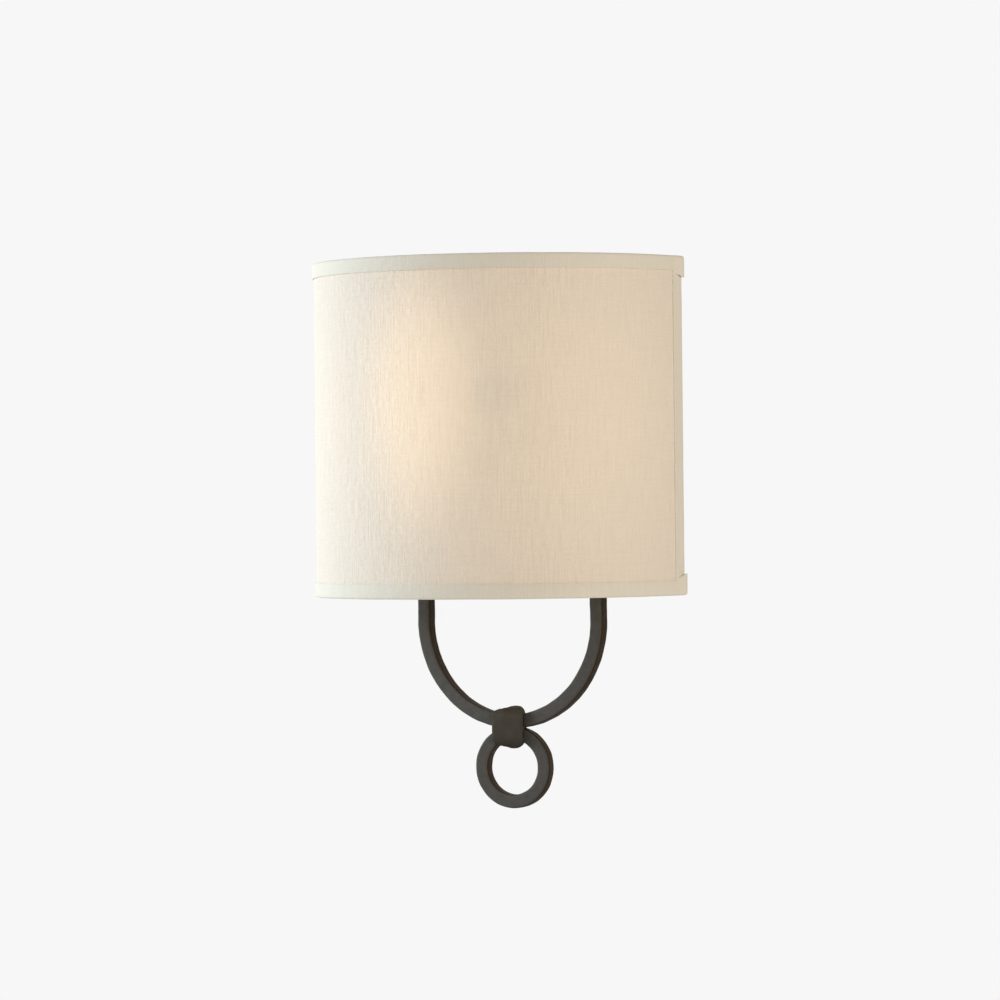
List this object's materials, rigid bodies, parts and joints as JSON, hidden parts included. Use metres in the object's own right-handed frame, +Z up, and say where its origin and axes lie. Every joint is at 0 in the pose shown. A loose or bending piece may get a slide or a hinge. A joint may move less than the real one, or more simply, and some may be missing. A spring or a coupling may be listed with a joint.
{
  "type": "wall light",
  "caption": "Wall light with a half-round linen shade, open at the back, over a forged iron hanger with a collar and ring; screw-base bulb and lift-off shade",
  "frame": {"origin": "centre of the wall box, at the back face of the mounting strap, on the wall", "axes": "+Y into the wall, so the light stands out along -Y; +Z up; +X to the right as seen from the room"},
  "size_m": [0.2558, 0.1364, 0.3548],
  "materials": {
    "aged_brass": "aged, satin",
    "brass": "plain",
    "bulb_glass": "soft white, frosted",
    "bulb_metal": "plain",
    "clear_glass": "clear",
    "connector": "orange moulding",
    "fibre": "tan insulating fibre",
    "filament": "glowing tungsten wire",
    "forged_iron": "dark bronze over softly hammered iron",
    "ground_green": "green passivated steel",
    "lead_black": "insulated lead",
    "lead_green": "insulated lead",
    "lead_white": "insulated lead",
    "linen": "natural linen, slubbed plain weave",
    "linen_trim": "the same linen, folded over the edge",
    "liner": "white translucent sheet",
    "pan_bronze": "dark bronze, satin",
    "phenolic": "black moulding",
    "tinned": "tinned copper",
    "white_wire": "white coated",
    "zinc_steel": "zinc plated"
  },
  "bodies": {
    "fixture": {"mounting_strap": "zinc_steel", "canopy_studs": "zinc_steel", "stud_lock_nuts": "zinc_steel", "ground_screw": "ground_green", "wall_pan": "pan_bronze", "pan_nuts": "aged_brass", "hanger_bar": "forged_iron", "hanger_screws": "zinc_steel", "ring": "forged_iron", "collar": "forged_iron", "lamp_arm": "pan_bronze", "arm_lock_nut": "zinc_steel", "arm_flange": "pan_bronze", "arm_elbow": "pan_bronze", "holder_nipple": "zinc_steel", "holder_cap": "aged_brass", "holder_base": "phenolic", "terminal_screws": "brass", "holder_shell": "aged_brass", "holder_sleeve": "fibre", "screw_shell": "brass", "centre_contact": "brass", "lead_white": "lead_white", "lead_black": "lead_black", "wire_connectors": "connector", "ring_terminals": "tinned", "ground_lead": "lead_green", "post_bracket": "pan_bronze", "bracket_screws": "zinc_steel", "bracket_nuts": "zinc_steel", "shade_post": "aged_brass", "post_nuts": "aged_brass", "seat_washer": "aged_brass"},
    "shade": {"shade_fabric": "linen", "shade_liner": "liner", "bottom_wire": "white_wire", "top_wire": "white_wire", "side_wires": "white_wire", "cross_bar": "white_wire", "top_trim": "linen_trim", "bottom_trim": "linen_trim", "left_trim": "linen_trim", "right_trim": "linen_trim"},
    "finial": {"finial": "aged_brass"},
    "bulb": {"bulb_cap": "bulb_metal", "bulb_insulator": "phenolic", "bulb_contact": "brass", "bulb_glass": "bulb_glass", "bulb_stem": "clear_glass", "bulb_filament": "filament"}
  },
  "joints": [
    {"name": "shade_lift", "type": "slide", "parent": "fixture", "child": "shade", "axis": [0, 0, 1], "range_m": [0, 0.22]},
    {"name": "finial_turn", "type": "hinge", "parent": "shade", "child": "finial", "pos_m": [0, -0.0325, 0.13], "axis": [0, 0, 1], "continuous": true},
    {"name": "bulb_out", "type": "slide", "parent": "fixture", "child": "bulb", "axis": [0, 0, 1], "range_m": [0, 0.12]}
  ]
}
